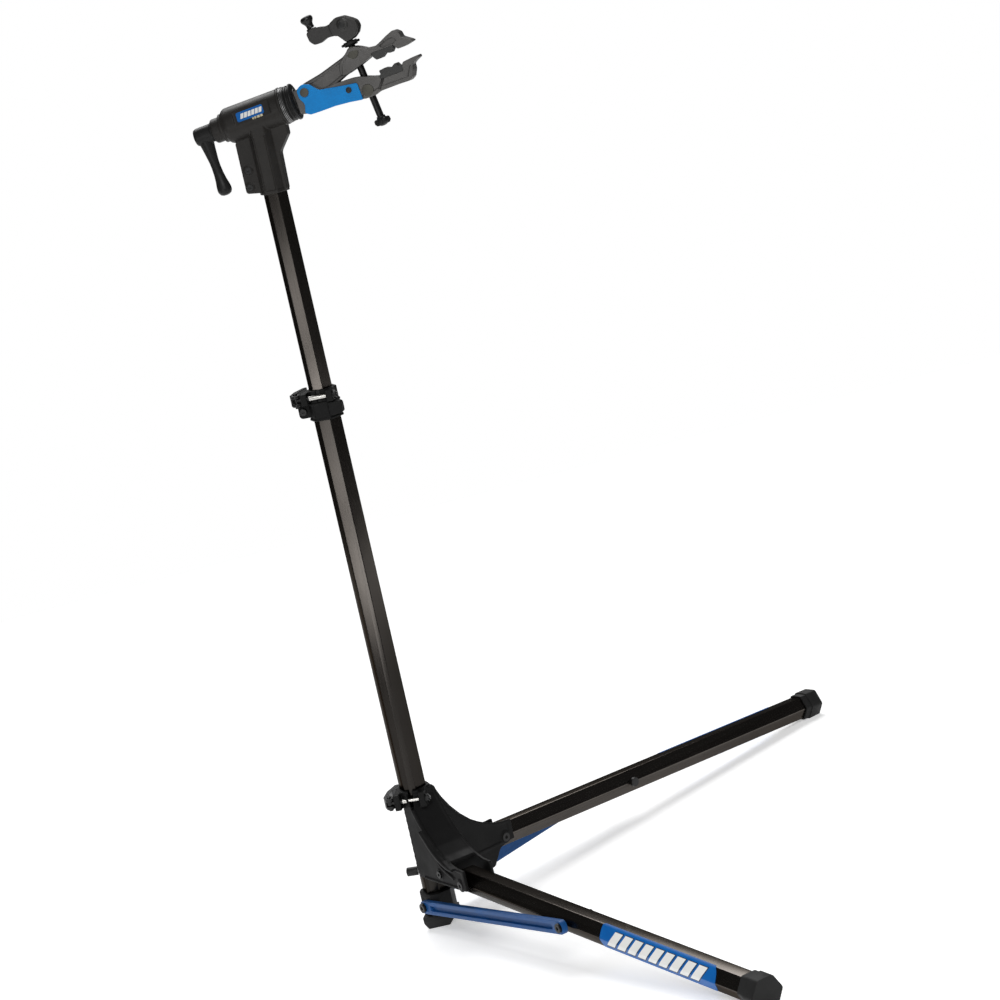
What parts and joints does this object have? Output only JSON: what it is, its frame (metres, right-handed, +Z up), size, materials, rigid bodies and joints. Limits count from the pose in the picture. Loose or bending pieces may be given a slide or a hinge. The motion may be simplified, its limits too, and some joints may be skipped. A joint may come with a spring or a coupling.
{
  "type": "bicycle repair stand",
  "caption": "Folding bicycle repair stand with a leaning hexagonal mast, two strutted legs and a turning tube clamp",
  "frame": {"origin": "middle of the mast foot's sole, on the floor", "axes": "+X forward towards the legs and the clamp, +Y left, +Z up"},
  "size_m": [0.5764, 1.2308, 1.2906],
  "materials": {
    "mast_lower_tube": "satin",
    "mast_foot": "matte",
    "strut_anchor": "matte",
    "anchor_bolts": "satin",
    "travel_stop": "matte",
    "collar_base": "matte",
    "collar_clamp": "matte",
    "collar_bushing": "matte",
    "collar_tab_screw": "satin",
    "collar_skewer": "polished",
    "collar_nut": "polished",
    "collar_lever": "satin",
    "leg_hub": "matte",
    "hub_skewer": "polished",
    "hub_nut": "polished",
    "leg_pivot_bolts": "satin",
    "hub_screws": "satin",
    "hub_lever": "satin",
    "right_leg_tube": "satin",
    "right_leg_insert": "matte",
    "right_leg_cap": "matte",
    "right_strut_nut": "satin",
    "left_leg_tube": "satin",
    "left_leg_insert": "matte",
    "left_leg_cap": "matte",
    "left_strut_nut": "satin",
    "right_strut": "satin",
    "right_strut_bolt": "satin",
    "left_strut": "satin",
    "left_strut_bolt": "satin",
    "mast_upper_tube": "satin",
    "slide_plug": "matte",
    "head_casting": "matte",
    "head_clamp_screws": "satin",
    "name_plate": "gloss",
    "bright_ring": "polished",
    "clamp_spindle": "satin",
    "lower_jaw": "matte",
    "jaw_cover": "satin",
    "jaw_pivot_pin": "satin",
    "cover_rivets": "satin",
    "lower_pad": "matte",
    "upper_arm": "matte",
    "upper_jaw": "matte",
    "upper_pad": "matte",
    "upper_trunnion": "satin",
    "lower_trunnion": "satin",
    "clamp_screw": "satin",
    "screw_stop": "matte",
    "thrust_washer": "matte",
    "cam_pin": "satin",
    "crank_lever": "satin",
    "crank_knob": "matte",
    "lock_handle": "matte",
    "handle_grip": "matte"
  },
  "bodies": {
    "base": {"mast_lower_tube": "mast_lower_tube", "mast_foot": "mast_foot", "strut_anchor": "strut_anchor", "anchor_bolts": "anchor_bolts", "travel_stop": "travel_stop", "collar_base": "collar_base", "collar_clamp": "collar_clamp", "collar_bushing": "collar_bushing", "collar_tab_screw": "collar_tab_screw", "collar_skewer": "collar_skewer", "collar_nut": "collar_nut"},
    "collar_cam": {"collar_lever": "collar_lever"},
    "hub": {"leg_hub": "leg_hub", "hub_skewer": "hub_skewer", "hub_nut": "hub_nut", "leg_pivot_bolts": "leg_pivot_bolts", "hub_screws": "hub_screws"},
    "hub_cam": {"hub_lever": "hub_lever"},
    "right_leg": {"right_leg_tube": "right_leg_tube", "right_leg_insert": "right_leg_insert", "right_leg_cap": "right_leg_cap", "right_strut_nut": "right_strut_nut"},
    "left_leg": {"left_leg_tube": "left_leg_tube", "left_leg_insert": "left_leg_insert", "left_leg_cap": "left_leg_cap", "left_strut_nut": "left_strut_nut"},
    "right_strut_bar": {"right_strut": "right_strut", "right_strut_bolt": "right_strut_bolt"},
    "left_strut_bar": {"left_strut": "left_strut", "left_strut_bolt": "left_strut_bolt"},
    "upper_mast": {"mast_upper_tube": "mast_upper_tube", "slide_plug": "slide_plug", "head_casting": "head_casting", "head_clamp_screws": "head_clamp_screws", "name_plate": "name_plate", "bright_ring": "bright_ring"},
    "clamp_head": {"clamp_spindle": "clamp_spindle", "lower_jaw": "lower_jaw", "jaw_cover": "jaw_cover", "jaw_pivot_pin": "jaw_pivot_pin", "cover_rivets": "cover_rivets", "lower_pad": "lower_pad"},
    "moving_jaw": {"upper_arm": "upper_arm", "upper_jaw": "upper_jaw", "upper_pad": "upper_pad"},
    "top_swivel": {"upper_trunnion": "upper_trunnion"},
    "bottom_swivel": {"lower_trunnion": "lower_trunnion"},
    "screw": {"clamp_screw": "clamp_screw", "screw_stop": "screw_stop", "thrust_washer": "thrust_washer", "cam_pin": "cam_pin"},
    "crank": {"crank_lever": "crank_lever"},
    "knob": {"crank_knob": "crank_knob"},
    "head_lock": {"lock_handle": "lock_handle", "handle_grip": "handle_grip"}
  },
  "joints": [
    {"name": "hub_slide", "type": "slide", "parent": "base", "child": "hub", "axis": [0.0814, 0, 0.9967], "range_m": [0, 0.538]},
    {"name": "height", "type": "slide", "parent": "base", "child": "upper_mast", "axis": [0.0814, 0, 0.9967], "range_m": [-0.262, 0.185]},
    {"name": "collar_lever_open", "type": "hinge", "parent": "base", "child": "collar_cam", "pos_m": [0.03354, -0.027, 0.7914], "axis": [0.0814, 0, 0.9967], "range_deg": [0, 150]},
    {"name": "hub_lever_open", "type": "hinge", "parent": "hub", "child": "hub_cam", "pos_m": [-0.0149, -0.027, 0.19837], "axis": [0.0814, 0, 0.9967], "range_deg": [0, 150]},
    {"name": "right_leg_fold", "type": "hinge", "parent": "hub", "child": "right_leg", "pos_m": [0.08847, -0.0933, 0.07976], "axis": [0.7499, 0.6587, -0.0613], "range_deg": [0, 74.74]},
    {"name": "left_leg_fold", "type": "hinge", "parent": "hub", "child": "left_leg", "pos_m": [0.08847, 0.0933, 0.07976], "axis": [-0.7499, 0.6587, 0.0613], "range_deg": [0, 74.74]},
    {"name": "right_strut_turn", "type": "hinge", "parent": "base", "child": "right_strut_bar", "pos_m": [0.00837, -0.0064, 0.03373], "axis": [0.7499, 0.6587, -0.0613], "range_deg": [-56.01, 0]},
    {"name": "left_strut_turn", "type": "hinge", "parent": "base", "child": "left_strut_bar", "pos_m": [0.00837, 0.0064, 0.03373], "axis": [-0.7499, 0.6587, 0.0613], "range_deg": [-56.01, 0]},
    {"name": "clamp_turn", "type": "hinge", "parent": "upper_mast", "child": "clamp_head", "pos_m": [0.14741, 0, 1.18451], "axis": [0.9982, 0, 0.0602], "continuous": true},
    {"name": "head_lock_turn", "type": "hinge", "parent": "upper_mast", "child": "head_lock", "pos_m": [0.01565, 0, 1.17657], "axis": [0.9982, 0, 0.0602], "range_deg": [-110, 0]},
    {"name": "jaw_open", "type": "hinge", "parent": "clamp_head", "child": "moving_jaw", "pos_m": [0.17305, 0, 1.19297], "axis": [0, -1, 0], "range_deg": [-5, 21]},
    {"name": "top_swivel_turn", "type": "hinge", "parent": "moving_jaw", "child": "top_swivel", "pos_m": [0.25226, 0, 1.22509], "axis": [0, -1, 0], "range_deg": [-12, 4]},
    {"name": "bottom_swivel_turn", "type": "hinge", "parent": "clamp_head", "child": "bottom_swivel", "pos_m": [0.25742, 0, 1.1711], "axis": [0, -1, 0], "range_deg": [-4, 12]},
    {"name": "screw_turn", "type": "hinge", "parent": "top_swivel", "child": "screw", "pos_m": [0.25076, 0, 1.24079], "axis": [-0.0951, 0, 0.9955], "continuous": true},
    {"name": "cam_lift", "type": "hinge", "parent": "screw", "child": "crank", "pos_m": [0.24848, 0, 1.26468], "axis": [0, 1, 0], "range_deg": [0, 95]},
    {"name": "knob_spin", "type": "hinge", "parent": "crank", "child": "knob", "pos_m": [0.20461, 0, 1.27261], "axis": [-0.1985, 0, 0.9801], "continuous": true}
  ],
  "couplings": [
    {"joint": "right_leg_fold", "follows": "hub_slide", "rad_per_m": 2.4238},
    {"joint": "left_leg_fold", "follows": "hub_slide", "rad_per_m": 2.4238},
    {"joint": "right_strut_turn", "follows": "hub_slide", "rad_per_m": -1.8165},
    {"joint": "left_strut_turn", "follows": "hub_slide", "rad_per_m": -1.8165},
    {"joint": "top_swivel_turn", "follows": "jaw_open", "ratio": -0.538},
    {"joint": "bottom_swivel_turn", "follows": "jaw_open", "ratio": 0.462}
  ]
}
